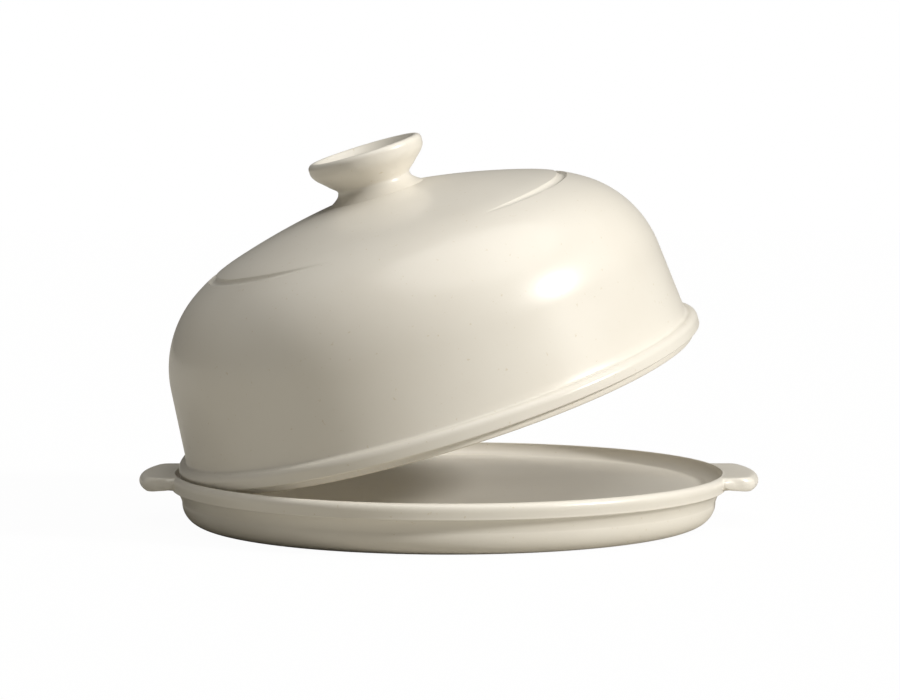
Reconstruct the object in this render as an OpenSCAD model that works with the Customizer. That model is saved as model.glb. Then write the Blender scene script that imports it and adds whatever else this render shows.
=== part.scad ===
// Bread cloche: a round stoneware tray with two ear handles, and a domed lid with a dished knob.
// Units are millimetres. The origin is the centre of the tray's underside, +X runs to the right ear.
// The lid is drawn as it stands when propped open: its low edge lies in the tray's seat.

/* [Tray] */
// Height of the tray, from the foot to the top of the rim
base_h = 27; // [25:0.5:34]
// Inner radius of the rim, at the top of the hollow seat
seat_r = 146.5; // [144:0.5:170]
// Thickness of the rim at its top
rim_t = 3.1; // [2.5:0.1:5]
// Depth of the seat, from the top of the rim down to the floor
seat_d = 7; // [6:0.5:9]
// Thickness of the floor
floor_t = 7.5; // [5:0.5:9]
// Height of the fine step below the rim band, down from the top of the rim
band_h = 8; // [7:0.5:9]
// Depth of the fine step below the rim band
band_step = 1; // [0.5:0.1:1.5]
// How much further in the foot stands than the rim
foot_in = 18.6; // [16:0.2:24]
// Width of the foot ring
foot_w = 7; // [5:0.5:12]
// Radius of the round turn from wall to foot
tuck_r = 11.4; // [8:0.2:12]

/* [Ear handles] */
// How far each ear reaches out past the rim
ear_reach = 16.4; // [12:0.2:24]
// Width of an ear where it leaves the rim
ear_w = 76; // [50:1:110]
// How much narrower an ear is at its corners, each side
ear_taper = 2; // [0:0.5:8]
// How far the corners stand back from the tip
ear_bow = 8; // [4:0.5:11]
// Thickness of an ear
ear_t = 7.6; // [6:0.2:9]
// Radius of the rounded end
ear_nose_r = 4.3; // [4:0.1:4.5]

/* [Lid] */
// Play between the lid's rim and the seat, all round
seat_play = 1.9; // [1:0.1:4]
// Gap between the closed lid and the floor that carries it
seat_gap = 0.3; // [0.2:0.1:0.6]
// How far the rim bead stands out from the wall of the dome
bead_out = 5.4; // [4:0.2:7]
// Height of the skirt below the bead
skirt_h = 4; // [3:0.2:5]
// How much further in the skirt stands than the bead
skirt_in = 4.4; // [3:0.2:4.4]
// Height of the bead
bead_h = 8; // [7:0.5:10]
// Thickness of the dome's wall
dome_t = 6.5; // [5:0.5:8]
// Height of the straight part of the wall, above the bead
wall_h = 38.4; // [25:0.2:60]
// Inward lean of the wall, in degrees
wall_lean = 5.5; // [2:0.5:8]
// Radius of the shoulder
shoulder_r = 58; // [50:1:62]
// Radius of the haunch above it
haunch_r = 97; // [90:1:104]
// Radius of the crown
crown_r = 413; // [380:1:450]
// Depth of the two crescent grooves
groove_d = 1.7; // [1:0.1:2.5]
// Radius of the grooves' round section
groove_r = 3; // [2.5:0.1:4]
// How soon a groove runs out of the surface, larger is shorter
groove_fade = 3.6; // [2.5:0.1:6]

/* [Knob] */
// Radius of the knob at its lip
knob_r = 31.2; // [28:0.2:36]
// Radius of the knob's neck
neck_r = 19.2; // [16:0.2:22]
// Height of the knob above the crown
knob_h = 22.6; // [20:0.2:28]
// Radius of the rounded lip
lip_r = 2.8; // [2:0.1:3.2]
// Depth of the dish in the knob's top
dish_d = 9; // [5:0.5:11]

/* [Stance] */
// How far the lid is tipped open, in degrees
lid_tilt = 17.5; // [0:0.5:45]
// Turn of the low edge from the left towards the front, in degrees
tilt_dir = 16.5; // [0:0.5:30]
// Turn of the lid about its own axis, in degrees
lid_turn = 8; // [0:1:45]
// Distance of the tipping axis from the middle of the tray, in from the seat
pivot_in = 6.9; // [6:0.1:8]
// Height of the tipping axis above the floor
pivot_h = 8.4; // [8:0.1:9]

/* [Hidden] */
$fn = 96;
over = 1;
clay = [0.93, 0.91, 0.86];

// Tray, worked out from the sizes above
rim_r = seat_r + rim_t;
floor_z = base_h - seat_d;
foot_r = rim_r - foot_in;
under_z = floor_z - floor_t;
tuck_c = [foot_r + 0.6, tuck_r - 0.1];

// Ears
tip_x = rim_r + ear_reach;
ear_top = base_h - 0.2;
root_r = rim_r - rim_t * 0.6;

// Lid, in its own frame: origin at the middle of the skirt's lower edge
bead_r = seat_r - seat_play;
skirt_r = bead_r - skirt_in;
wall_r = bead_r - bead_out;
wall_z = skirt_h + bead_h + 0.6;
inner_r = wall_r - dome_t;
bead_round = 3.6;
shoulder_a = 57.4;
haunch_a = 73;
crown_a = 81.3;

// A point at distance r and angle a, and an arc of n steps from angle a0 to a1 about c
function polar(r, a) = [r * cos(a), r * sin(a)];
function arc(c, r, a0, a1, n) = [for (i = [0:n]) c + polar(r, a0 + (a1 - a0) * i / n)];

// The dome is a chain of arcs, each tangent to the one before it, above a leaning wall
wall_top = [wall_r - wall_h * tan(wall_lean), wall_z + wall_h];
c1 = wall_top - polar(shoulder_r, wall_lean);
c2 = c1 + polar(shoulder_r - haunch_r, shoulder_a);
c3 = c2 + polar(haunch_r - crown_r, haunch_a);
crown_edge = c3 + polar(crown_r, crown_a);
cap_r = crown_edge[0] / cos(crown_a);
c4 = [0, crown_edge[1] - cap_r * sin(crown_a)];
crown_z = c4[1] + cap_r;

// The dome's curve from the wall up to the axis, set in by t
function dome_curve(t) = concat(
    arc(c1, shoulder_r - t, wall_lean, shoulder_a, 10),
    arc(c2, haunch_r - t, shoulder_a + 2, haunch_a, 5),
    arc(c3, crown_r - t, haunch_a + 1.2, crown_a, 6),
    arc(c4, cap_r - t, crown_a + 1.2, 90, 5));

// Reversed list
function flip(p) = [for (i = [len(p) - 1:-1:0]) p[i]];

// Knob, in the lid's frame
lip_c = [knob_r - lip_r, crown_z + knob_h - lip_r];
neck_z = crown_z + 4;
fillet_r = 5.3;
dish_edge = lip_c + polar(lip_r, 115);
dish_r = (pow(dish_edge[0], 2) + pow(dish_d, 2)) / (2 * dish_d);
dish_a = asin(dish_edge[0] / dish_r);

// Tipping axis
pivot_r = seat_r - pivot_in;
pivot_z = floor_z + pivot_h;

// Everything inside the tray's outer surface
module tray_outer() {
    rotate_extrude($fn = 180)
        polygon(concat(
            [[0, 0], [foot_r, 0]],
            arc(tuck_c, tuck_r, -78, 4, 9),
            [[rim_r - 1 - band_step - 0.4, base_h - band_h - 0.6],
             [rim_r - 1, base_h - band_h]],
            arc([seat_r, base_h - rim_t], rim_t, 0, 90, 6),
            [[0, base_h]]));
}

// The hollow that holds the lid, with its round seat
module tray_hollow() {
    rotate_extrude($fn = 180)
        polygon(concat(
            [[0, floor_z]],
            arc([seat_r - seat_d, base_h], seat_d, -90, 0, 10),
            [[seat_r, base_h + over], [0, base_h + over]]));
}

module tray() {
    color(clay)
        difference() {
            tray_outer();
            tray_hollow();
            translate([0, 0, -over])
                cylinder(h = under_z + over, r = foot_r - foot_w, $fn = 180);
        }
}

// Plan of an ear: straight sides, round corners and a bowed end
module ear_plan() {
    corner_r = 5;
    half = ear_w / 2;
    corner = [tip_x - ear_bow - corner_r, half - ear_taper - corner_r];
    bow_r = (pow(half - ear_taper - corner_r, 2) + pow(ear_bow - 1, 2)) / (2 * (ear_bow - 1));
    bow_a = asin((half - ear_taper - corner_r) / bow_r);
    polygon(concat(
        [[0, -half]],
        [[rim_r - 1, -half]],
        arc([corner[0], -corner[1]], corner_r, -85, -20, 5),
        arc([tip_x - bow_r, 0], bow_r, -bow_a, bow_a, 12),
        arc(corner, corner_r, 20, 85, 5),
        [[rim_r - 1, half]],
        [[0, half]]));
}

// Side view of an ear: a flat top, a round nose and a shallow hollow for the fingers
module ear_side() {
    nose_c = [tip_x - ear_nose_r, ear_top - ear_nose_r];
    polygon(concat(
        [[0, ear_top], [0, ear_top - ear_t - 1]],
        [[rim_r, ear_top - ear_t - 0.6]],
        [[rim_r + 3, ear_top - ear_t]],
        [[nose_c[0] - ear_nose_r, ear_top - ear_t]],
        arc(nose_c, ear_nose_r, -110, 90, 16)));
}

module ear() {
    color(clay)
        difference() {
            intersection() {
                linear_extrude(height = base_h + over)
                    ear_plan();
                translate([0, ear_w, 0])
                    rotate([90, 0, 0])
                        linear_extrude(height = 2 * ear_w)
                            ear_side();
            }
            tray_outer();
            cylinder(h = base_h + over, r = root_r, $fn = 180);
        }
}

module left_ear() {
    rotate([0, 0, 180])
        ear();
}

module right_ear() {
    ear();
}

// Moves a piece from the lid's own frame to where the propped lid stands
module lid_place() {
    rotate([0, 0, tilt_dir])
        translate([-pivot_r, 0, pivot_z])
            rotate([0, -lid_tilt, 0])
                translate([pivot_r, 0, floor_z + seat_gap - pivot_z])
                    rotate([0, 0, lid_turn - tilt_dir])
                        children();
}

// Solid inside the dome's outer surface, rim included
module dome_outer() {
    rotate_extrude($fn = 180)
        polygon(concat(
            [[0, 0], [skirt_r - 1, 0]],
            arc([skirt_r - 1, 1], 1, -45, 0, 2),
            [[skirt_r, skirt_h - 0.4]],
            [[bead_r - 0.8, skirt_h]],
            [[bead_r, skirt_h + 0.8]],
            arc([bead_r - bead_round, skirt_h + bead_h - bead_round], bead_round, 0, 80, 6),
            [[wall_r + 0.6, wall_z - 0.3]],
            [[wall_r, wall_z + 0.4]],
            dome_curve(0)));
}

// Hollow of the dome
module dome_hollow() {
    rotate_extrude($fn = 180)
        polygon(concat(
            [[0, -over], [inner_r + 0.3, -over]],
            [[inner_r + 0.3, 0], [inner_r, wall_z]],
            dome_curve(dome_t)));
}

// One crescent groove: a ring that leaves the surface on both sides of its deepest point
module groove() {
    lift = groove_r - groove_d;
    mid = c2 + polar(haunch_r + lift, haunch_a - 7.5);
    translate([groove_fade, 0, mid[1]])
        rotate_extrude($fn = 180)
            translate([mid[0] + groove_fade, 0])
                circle(r = groove_r, $fn = 32);
}

module dome() {
    color(clay)
        lid_place()
            difference() {
                dome_outer();
                dome_hollow();
                groove();
                rotate([0, 0, 180])
                    groove();
            }
}

module knob() {
    color(clay)
        lid_place()
            difference() {
                rotate_extrude($fn = 120)
                    polygon(concat(
                        [[0, crown_z - 8], [neck_r + fillet_r, crown_z - 8]],
                        arc([neck_r + fillet_r, neck_z], fillet_r, 270, 180, 6),
                        [[neck_r + 5.4, neck_z + 6.8]],
                        [[knob_r - 3, neck_z + 9.4]],
                        [[knob_r - 1, neck_z + 11.6]],
                        arc(lip_c, lip_r, -15, 115, 9),
                        flip(arc([0, dish_edge[1] - dish_d + dish_r], dish_r,
                                 270, 270 + dish_a, 8))));
                dome_outer();
            }
}

tray();
left_ear();
right_ear();
dome();
knob();
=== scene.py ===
import math

import bpy
from mathutils import Matrix, Vector


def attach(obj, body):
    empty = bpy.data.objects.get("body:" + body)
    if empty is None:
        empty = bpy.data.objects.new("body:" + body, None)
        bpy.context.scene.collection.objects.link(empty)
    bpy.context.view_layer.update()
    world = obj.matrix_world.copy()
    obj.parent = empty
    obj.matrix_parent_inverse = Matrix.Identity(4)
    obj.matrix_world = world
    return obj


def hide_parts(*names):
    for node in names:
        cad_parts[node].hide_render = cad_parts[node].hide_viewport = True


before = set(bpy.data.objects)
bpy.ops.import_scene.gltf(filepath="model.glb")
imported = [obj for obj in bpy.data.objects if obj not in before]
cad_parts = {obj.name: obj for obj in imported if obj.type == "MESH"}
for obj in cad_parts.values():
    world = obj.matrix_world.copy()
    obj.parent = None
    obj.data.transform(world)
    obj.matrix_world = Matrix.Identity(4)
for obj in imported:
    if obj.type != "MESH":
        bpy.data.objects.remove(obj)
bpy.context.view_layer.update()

# Sizes are in millimetres and angles in degrees, as in the part's source. Meshes are scaled to metres.
MM = 0.001
LONGEST_STEP = 3.0

# Tray
BASE_H = 27.0
SEAT_R = 146.5
SEAT_D = 7.0
FLOOR_Z = BASE_H - SEAT_D
UNDER_Z = 12.5
RIM_T = 3.1
RIM_EDGE = 0.45
FOOT_R = 131.0
FOOT_W = 7.0
FOOT_ROUND = 0.9
HOLLOW_ROUND = 1.2
TUCK_R = 11.4
WALL_FLARE = [(143.7, 14.0), (144.6, 16.0), (146.0, 17.6), (147.2, 18.45)]
BAND_STEP_C = (147.9, 19.3)
BAND_STEP_ROUND = 0.7
BAND = [(148.7, 20.5), (149.5, 22.5)]
TRAY_SEGMENTS = 288
TRAY_BARE_BELOW = 0.35

# Ears
EAR_TIP = 166.0
EAR_HALF = 37.0
EAR_END = 41.0
EAR_STEPS = 164
EAR_TOP = 26.8
EAR_LOW = 19.3
EAR_ROOT_R = 147.5
EAR_MEETS_R = 149.4
EAR_BOW = 5.5
EAR_BOW_AT = 34.0
EAR_CORNER = 6.5
EAR_CORNER_DEPTH = 8.5
EAR_FILLET = 4.0
EAR_FILLET_X = 152.0
EAR_FILLET_POWER = 2.2
EAR_SOFT_FROM = 33.5
EAR_SOFT_OVER = 4.0
EAR_SOFT_DROP = 1.5
EAR_NOSE_R = 4.1

# Lid, in its own frame: the origin is at the middle of the skirt's lower edge
SKIRT_R = 140.2
BEAD_R = 144.6
BEAD_ROUND = 3.6
WALL_R = 139.2
WALL_Z = 12.6
WALL_H = 38.4
LEAN = 5.5
DOME_T = 6.5
INNER_R = WALL_R - DOME_T
SHOULDER_R, HAUNCH_R, CROWN_R = 58.0, 97.0, 413.0
SHOULDER_A, HAUNCH_A, CROWN_A = 57.4, 73.0, 81.3
LID_SEGMENTS = 384
LID_BARE_BELOW = 0.25
GROOVE_R = 3.0
GROOVE_D = 1.7
GROOVE_A = HAUNCH_A - 7.5
GROOVE_FADE = 2.87

# Knob, in the lid's frame
KNOB_R = 31.2
KNOB_H = 22.6
LIP_R = 2.8
DISH_R = 27.1
DISH_D = 9.0
KNOB_SEGMENTS = 160
# Radius, and height above the dome
KNOB_FOOT = [
    (24.0, -1.0), (26.4, -0.35), (25.8, 0.07), (24.6, 0.53), (23.0, 1.33), (21.4, 2.36), (20.3, 3.43),
]
# Radius, and height in the lid's frame
KNOB_FLARE = [
    (19.7, 124.8), (19.9, 125.6), (20.7, 126.5), (21.8, 127.4), (23.2, 128.6), (24.6, 130.0),
    (26.3, 131.6), (28.2, 133.3), (29.6, 134.9), (30.6, 136.5), (31.1, 138.0),
]

# Stance: the lid is tipped about a level axis at its low edge
LID_TILT = 17.5
TILT_DIR = 16.5
LID_TURN = 8.0
PIVOT_R = 139.6
PIVOT_Z = 28.4
SEAT_GAP = 0.3

# Colours
GLAZE_PALE = (0.87, 0.83, 0.745)
GLAZE_DEEP = (0.845, 0.80, 0.71)
GLAZE_EDGE = (0.86, 0.81, 0.71)
FLECK = (0.9, 0.87, 0.8)
CLAY_DARK = (0.56, 0.47, 0.36)
CLAY_LIGHT = (0.78, 0.70, 0.58)
BLACK, WHITE = (0, 0, 0), (1, 1, 1)


def polar(c, r, a):
    """The point at distance r and angle a from c."""
    return (c[0] + r * math.cos(math.radians(a)), c[1] + r * math.sin(math.radians(a)))


def arc(c, r, a0, a1, n):
    return [polar(c, r, a0 + (a1 - a0) * i / n) for i in range(n + 1)]


def dense(points):
    """The same line, with no stretch longer than LONGEST_STEP."""
    out = [points[0]]
    for (r0, z0), (r1, z1) in zip(points, points[1:]):
        n = max(1, math.ceil(math.hypot(r1 - r0, z1 - z0) / LONGEST_STEP))
        out += [(r0 + (r1 - r0) * i / n, z0 + (z1 - z0) * i / n) for i in range(1, n + 1)]
    return out


def turned(profile, segments, shape=None):
    """Vertices and faces of a profile that starts and ends on the axis, turned about Z."""
    verts, faces, rings = [], [], []
    for r, z in profile:
        if r < 1e-6:
            rings.append([len(verts)])
            verts.append((0, 0, z))
            continue
        rings.append(list(range(len(verts), len(verts) + segments)))
        for k in range(segments):
            a = 2 * math.pi * k / segments
            reach, height = shape(r, z, a) if shape else (r, z)
            verts.append((reach * math.cos(a), reach * math.sin(a), height))
    for low, high in zip(rings, rings[1:]):
        for k in range(segments):
            n = (k + 1) % segments
            if len(low) == 1:
                faces.append((low[0], high[n], high[k]))
            elif len(high) == 1:
                faces.append((low[k], low[n], high[0]))
            else:
                faces.append((low[k], low[n], high[n], high[k]))
    return verts, faces


def add_mesh(name, verts, faces, materials, matrix=Matrix.Identity(4), bare_below=-1.0, sharp=40):
    """A smooth mesh. Faces that lie lower than bare_below, before matrix, take the second material."""
    mesh = bpy.data.meshes.new(name)
    mesh.from_pydata([Vector(v) * MM for v in verts], [], faces)
    mesh.transform(matrix)
    for m in materials:
        mesh.materials.append(m)
    for p in mesh.polygons:
        p.use_smooth = True
        middle = sum(verts[i][2] for i in p.vertices) / len(p.vertices)
        p.material_index = 1 if middle < bare_below else 0
    mesh.set_sharp_from_angle(angle=math.radians(sharp))
    obj = bpy.data.objects.new(name, mesh)
    bpy.context.scene.collection.objects.link(obj)
    return obj


# Shader parts
def new_material(name):
    material = bpy.data.materials.new(name)
    material.use_nodes = True
    return material, material.node_tree


def noise(tree, scale, detail):
    place = tree.nodes.new("ShaderNodeTexCoord")
    texture = tree.nodes.new("ShaderNodeTexNoise")
    texture.inputs["Scale"].default_value = scale
    texture.inputs["Detail"].default_value = detail
    tree.links.new(place.outputs["Object"], texture.inputs["Vector"])
    return texture.outputs["Fac"]


def ramp(tree, fac, low_at, low, high_at, high):
    """The colour low up to low_at, and high from high_at on."""
    node = tree.nodes.new("ShaderNodeValToRGB")
    node.color_ramp.elements[0].position = low_at
    node.color_ramp.elements[0].color = (*low, 1)
    node.color_ramp.elements[1].position = high_at
    node.color_ramp.elements[1].color = (*high, 1)
    tree.links.new(fac, node.inputs["Fac"])
    return node.outputs["Color"]


def colour_mix(tree, blend):
    """A colour mix and its sockets: factor, first colour, second colour and result."""
    node = tree.nodes.new("ShaderNodeMix")
    node.data_type = "RGBA"
    node.blend_type = blend
    return node.inputs[0], node.inputs[6], node.inputs[7], node.outputs[2]


def bump(tree, height, strength, distance):
    node = tree.nodes.new("ShaderNodeBump")
    node.inputs["Strength"].default_value = strength
    node.inputs["Distance"].default_value = distance
    tree.links.new(height, node.inputs["Height"])
    tree.links.new(node.outputs["Normal"], tree.nodes["Principled BSDF"].inputs["Normal"])


def glaze(name):
    """Cream glaze: clouds of two tones, rare faint flecks, deeper edges, fine orange peel and a thin coat."""
    material, tree = new_material(name)
    bsdf = tree.nodes["Principled BSDF"]
    cloud = noise(tree, 16, 5)
    tone = ramp(tree, cloud, 0.35, GLAZE_DEEP, 0.65, GLAZE_PALE)
    flecks = ramp(tree, noise(tree, 420, 2), 0.24, FLECK, 0.30, WHITE)
    share, first, second, flecked = colour_mix(tree, "MULTIPLY")
    share.default_value = 1
    tree.links.new(tone, first)
    tree.links.new(flecks, second)

    form = tree.nodes.new("ShaderNodeNewGeometry")
    edges = ramp(tree, form.outputs["Pointiness"], 0.50, BLACK, 0.60, (0.45, 0.45, 0.45))
    share, first, second, edged = colour_mix(tree, "MIX")
    second.default_value = (*GLAZE_EDGE, 1)
    tree.links.new(edges, share)
    tree.links.new(flecked, first)
    tree.links.new(edged, bsdf.inputs["Base Color"])

    gloss = tree.nodes.new("ShaderNodeMapRange")
    gloss.inputs["To Min"].default_value = 0.30
    gloss.inputs["To Max"].default_value = 0.44
    tree.links.new(cloud, gloss.inputs["Value"])
    tree.links.new(gloss.outputs["Result"], bsdf.inputs["Roughness"])
    bump(tree, noise(tree, 90, 3), 0.12, 0.0004)
    bsdf.inputs["Coat Weight"].default_value = 0.35
    bsdf.inputs["Coat Roughness"].default_value = 0.16
    return material


def unglazed(name):
    """Grainy bare clay, where a piece stood in the kiln."""
    material, tree = new_material(name)
    bsdf = tree.nodes["Principled BSDF"]
    grain = noise(tree, 600, 6)
    tree.links.new(ramp(tree, grain, 0, CLAY_DARK, 1, CLAY_LIGHT), bsdf.inputs["Base Color"])
    bump(tree, grain, 0.4, 0.0003)
    bsdf.inputs["Roughness"].default_value = 0.85
    return material


def tray_line():
    """Half section of the tray, from the axis under the floor round to the axis on the floor."""
    inside = FOOT_R - FOOT_W
    return (
        [(0, UNDER_Z)]
        + arc((inside - HOLLOW_ROUND, UNDER_Z - HOLLOW_ROUND), HOLLOW_ROUND, 90, 0, 6)
        + arc((inside + FOOT_ROUND, FOOT_ROUND), FOOT_ROUND, 180, 270, 5)
        + [(FOOT_R - 0.3, 0)]
        + arc((FOOT_R + 0.6, TUCK_R - 0.1), TUCK_R, -80, 3, 30)
        + WALL_FLARE
        + arc(BAND_STEP_C, BAND_STEP_ROUND, -60, 0, 5)
        + BAND
        + arc((SEAT_R, BASE_H - RIM_T), RIM_T, 0, 78, 14)
        + arc((SEAT_R + 0.4, BASE_H - RIM_EDGE), RIM_EDGE, 80, 180, 6)
        + arc((SEAT_R - SEAT_D, BASE_H), SEAT_D, -4, -90, 24)
        + [(0, FLOOR_Z)]
    )


def ear_reach(y):
    """How far out the ear reaches at y: a bowed end, round corners and a fillet to the rim."""
    y = abs(y)
    rim = math.sqrt(EAR_MEETS_R ** 2 - y ** 2)
    reach = EAR_TIP - EAR_BOW * (y / EAR_BOW_AT) ** 2
    corner = min(1.0, (y - EAR_HALF + EAR_CORNER) / EAR_CORNER)
    if corner > 0:
        reach -= EAR_CORNER_DEPTH * (1 - math.sqrt(1 - corner ** 2))
    if y > EAR_HALF:
        fillet = min(1.0, (y - EAR_HALF) / EAR_FILLET)
        reach = rim + (EAR_FILLET_X - rim) * (1 - fillet) ** EAR_FILLET_POWER
    return max(reach, rim)


def ear_line(y):
    """Section of the ear at y: a flat top, a round nose and a shallow hollow for the fingers."""
    tip = ear_reach(y)
    root = math.sqrt(EAR_ROOT_R ** 2 - y ** 2)
    soft = min(1.0, max(0.0, (abs(y) - EAR_SOFT_FROM) / EAR_SOFT_OVER))
    drop = EAR_SOFT_DROP * (1 - math.sqrt(1 - soft ** 2))
    top, low = EAR_TOP - drop, EAR_LOW + drop
    nose = min(EAR_NOSE_R, (top - low) / 2 + 0.2, (tip - root) * 0.45)
    inner = tip - nose
    line = [(root, top), ((root + inner) / 2, top), (inner - 0.6, top)]
    line += arc((inner, top - nose), nose, 84, -62, 16)
    line += [(inner - 1.2, low + 0.25), (inner - (inner - root) * 0.35, low + 0.9)]
    line += [(root + 2.0, low + 0.4), (root, low - 0.2)]
    return [(max(x, root), z) for x, z in line]


def ear(side, name, node, material):
    """side is 1 for the right ear and -1 for the left one."""
    verts, faces, rows = [], [], []
    for i in range(EAR_STEPS + 1):
        y = EAR_END * (2 * i / EAR_STEPS - 1)
        line = ear_line(y)
        rows.append(tuple(range(len(verts), len(verts) + len(line))))
        verts += [(side * x, y, z) for x, z in line]
    for a, b in zip(rows, rows[1:]):
        for k in range(len(a)):
            m = (k + 1) % len(a)
            faces.append((a[k], b[k], b[m], a[m])[::side])
    faces.append(rows[0][::side])
    faces.append(rows[-1][::-side])
    obj = add_mesh(name, verts, faces, [material], sharp=60)
    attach(obj, "tray")
    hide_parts(node)


# Centres of the dome's arcs, each tangent to the one below it
wall_top = (WALL_R - WALL_H * math.tan(math.radians(LEAN)), WALL_Z + WALL_H)
shoulder_c = polar(wall_top, -SHOULDER_R, LEAN)
haunch_c = polar(shoulder_c, SHOULDER_R - HAUNCH_R, SHOULDER_A)
crown_c = polar(haunch_c, HAUNCH_R - CROWN_R, HAUNCH_A)
crown_edge = polar(crown_c, CROWN_R, CROWN_A)
cap_r = crown_edge[0] / math.cos(math.radians(CROWN_A))
cap_c = (0, crown_edge[1] - cap_r * math.sin(math.radians(CROWN_A)))


def dome_curve(t):
    """The dome from the top of its wall to the axis, set in by t."""
    line = arc(shoulder_c, SHOULDER_R - t, LEAN, SHOULDER_A, 60)
    line += arc(haunch_c, HAUNCH_R - t, SHOULDER_A, HAUNCH_A, 60)[1:]
    line += arc(crown_c, CROWN_R - t, HAUNCH_A, CROWN_A, 30)[1:]
    line += arc(cap_c, cap_r - t, CROWN_A, 90, 30)[1:]
    return line


def lid_rim():
    """The lid's edge, from the inside round the skirt and the bead to the wall."""
    return (
        arc((INNER_R + 1.2, 1.2), 1.2, 180, 270, 6)
        + arc((SKIRT_R - 1.0, 1.0), 1.0, -90, 0, 6)
        + [(SKIRT_R, 2.6)]
        + arc((SKIRT_R + 0.8, 3.2), 0.8, 180, 100, 5)
        + [(BEAD_R - 1.4, 4.05)]
        + arc((BEAD_R - 0.7, 4.75), 0.7, -80, 0, 6)
        + [(BEAD_R, 6.4)]
        + arc((BEAD_R - BEAD_ROUND, 8.2), BEAD_ROUND, 0, 92, 18)
        + arc((WALL_R + 1.55, 13.35), 1.5, 262, 184, 10)
    )


def lid_line():
    """Half section of the lid, from the axis under the dome round to the axis on top of it."""
    inside = dome_curve(DOME_T)[::-1] + [(INNER_R, 12)]
    wall = dense([(WALL_R - 0.05, 13.6), wall_top])
    return inside + lid_rim() + wall + dome_curve(0)[1:]


def grooved(r, z, a):
    """Sinks a point of the dome into the round groove, deepest at the sides and gone in front and behind."""
    q = (r - haunch_c[0], z - haunch_c[1])
    reach = math.hypot(*q)
    if z < 85 or not 80 <= r <= 112 or reach < HAUNCH_R - 1:
        return r, z
    lift = GROOVE_R - GROOVE_D + GROOVE_FADE * (1 - abs(math.cos(a)))
    c = polar((0, 0), HAUNCH_R + lift, GROOVE_A)
    d = (q[0] - c[0], q[1] - c[1])
    n = (q[0] / reach, q[1] / reach)
    along = d[0] * n[0] + d[1] * n[1]
    inside = along ** 2 - d[0] ** 2 - d[1] ** 2 + GROOVE_R ** 2
    sink = along + math.sqrt(inside) if inside > 0 else 0
    return (r - n[0] * sink, z - n[1] * sink) if sink > 0 else (r, z)


def dome_height(r):
    return cap_c[1] + math.sqrt(cap_r ** 2 - r ** 2)


def knob_line():
    """Half section of the knob: a foot that runs out on the dome, a flare, a lip and a round dish."""
    lip = (KNOB_R - LIP_R, dome_height(0) + KNOB_H - LIP_R)
    line = [(0, dome_height(0) - 1.5)]
    line += [(r, dome_height(r) + above) for r, above in KNOB_FOOT]
    line += KNOB_FLARE + arc(lip, LIP_R, 0, 118, 16)
    dish_r = (DISH_R ** 2 + DISH_D ** 2) / (2 * DISH_D)
    dish_c = (0, lip[1] + 2.47 - DISH_D + dish_r)
    dish_a = math.degrees(math.asin(DISH_R / dish_r))
    line += arc(dish_c, dish_r, dish_a - 90, -90, 24)[1:-1]
    return line + [(0, dish_c[1] - dish_r)]


def move(x, z):
    return Matrix.Translation(Vector((x, 0, z)) * MM)


def turn(angle, axis):
    return Matrix.Rotation(math.radians(angle), 4, axis)


def sun(name, energy, size, colour, source):
    """A sun whose light comes from the side of source."""
    lamp = bpy.data.lights.new(name, "SUN")
    lamp.energy = energy
    lamp.angle = math.radians(size)
    lamp.color = colour
    obj = bpy.data.objects.new(name, lamp)
    obj.rotation_euler = (-Vector(source)).to_track_quat("-Z", "Y").to_euler()
    bpy.context.scene.collection.objects.link(obj)


def seen_or_not(tree, unseen, seen, surface):
    """The camera sees one shader, and all other rays meet the other."""
    path = tree.nodes.new("ShaderNodeLightPath")
    choice = tree.nodes.new("ShaderNodeMixShader")
    tree.links.new(path.outputs["Is Camera Ray"], choice.inputs[0])
    tree.links.new(unseen, choice.inputs[1])
    tree.links.new(seen, choice.inputs[2])
    tree.links.new(choice.outputs[0], surface)


def floor():
    """A matte floor that the camera sees as nearly plain white."""
    low, wide = -0.0002, 6
    corners = [(-wide, -wide, low), (wide, -wide, low), (wide, wide, low), (-wide, wide, low)]
    mesh = bpy.data.meshes.new("floor")
    mesh.from_pydata(corners, [], [(0, 1, 2, 3)])
    obj = bpy.data.objects.new("floor", mesh)
    bpy.context.scene.collection.objects.link(obj)
    material, tree = new_material("floor_white")
    matte = tree.nodes["Principled BSDF"]
    matte.inputs["Base Color"].default_value = (0.52, 0.50, 0.45, 1)
    matte.inputs["Roughness"].default_value = 0.9
    pale = tree.nodes.new("ShaderNodeBsdfDiffuse")
    pale.inputs["Color"].default_value = (0.95, 0.95, 0.95, 1)
    glow = tree.nodes.new("ShaderNodeEmission")
    glow.inputs["Color"].default_value = (*WHITE, 1)
    glow.inputs["Strength"].default_value = 1
    bright = tree.nodes.new("ShaderNodeMixShader")
    bright.inputs[0].default_value = 0.97
    tree.links.new(pale.outputs[0], bright.inputs[1])
    tree.links.new(glow.outputs[0], bright.inputs[2])
    seen_or_not(tree, matte.outputs[0], bright.outputs[0], tree.nodes["Material Output"].inputs["Surface"])
    mesh.materials.append(material)


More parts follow.
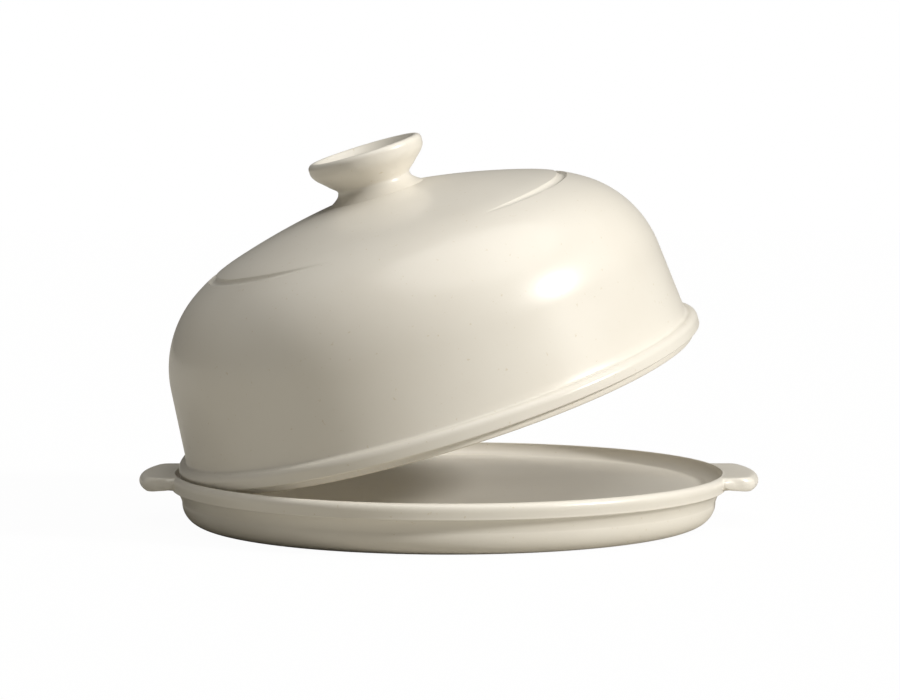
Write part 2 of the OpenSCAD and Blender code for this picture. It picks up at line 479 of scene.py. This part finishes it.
def studio():
    """A white world for the camera, and a dim warm one for the light on the object."""
    world = bpy.data.worlds.new("studio")
    bpy.context.scene.world = world
    world.use_nodes = True
    tree = world.node_tree
    back = tree.nodes["Background"]
    back.inputs["Color"].default_value = (*WHITE, 1)
    back.inputs["Strength"].default_value = 1
    soft = tree.nodes.new("ShaderNodeBackground")
    soft.inputs["Color"].default_value = (1, 0.975, 0.92, 1)
    soft.inputs["Strength"].default_value = 0.07
    seen_or_not(tree, soft.outputs[0], back.outputs[0], tree.nodes["World Output"].inputs["Surface"])


def camera():
    """The photograph's viewpoint, 1.5 m in front and a little above."""
    data = bpy.data.cameras.new("camera")
    data.lens = 111.8
    data.sensor_width = 36
    obj = bpy.data.objects.new("camera", data)
    obj.location = (0, -1.4966, 0.1951)
    obj.rotation_euler = (math.radians(86.046), 0, math.radians(-0.024))
    bpy.context.scene.collection.objects.link(obj)
    bpy.context.scene.camera = obj


tray_glaze = glaze("tray_glaze")
lid_glaze = glaze("lid_glaze")
bare_clay = unglazed("bare_clay")

verts, faces = turned(dense(tray_line()), TRAY_SEGMENTS)
tray = add_mesh("tray_shell", verts, faces, [tray_glaze, bare_clay], bare_below=TRAY_BARE_BELOW)
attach(tray, "tray")
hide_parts("tray")

ear(-1, "left_ear_handle", "left_ear", tray_glaze)
ear(1, "right_ear_handle", "right_ear", tray_glaze)

lid_place = (
    turn(TILT_DIR, "Z")
    @ move(-PIVOT_R, PIVOT_Z)
    @ turn(-LID_TILT, "Y")
    @ move(PIVOT_R, FLOOR_Z + SEAT_GAP - PIVOT_Z)
    @ turn(LID_TURN - TILT_DIR, "Z")
)
verts, faces = turned(lid_line(), LID_SEGMENTS, grooved)
dome = add_mesh("dome_shell", verts, faces, [lid_glaze, bare_clay], lid_place, bare_below=LID_BARE_BELOW)
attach(dome, "lid")
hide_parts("dome")

verts, faces = turned(knob_line(), KNOB_SEGMENTS)
knob = add_mesh("knob_shell", verts, faces, [lid_glaze], lid_place, sharp=70)
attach(knob, "lid")
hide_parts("knob")

floor()
studio()
sun("key", 2.55, 9, (1, 0.985, 0.96), (0.91, -0.41, 0.56))
sun("overhead", 1.5, 60, (1, 0.985, 0.95), (0.12, -0.14, 0.98))
camera()
bpy.context.scene.view_settings.view_transform = "Standard"
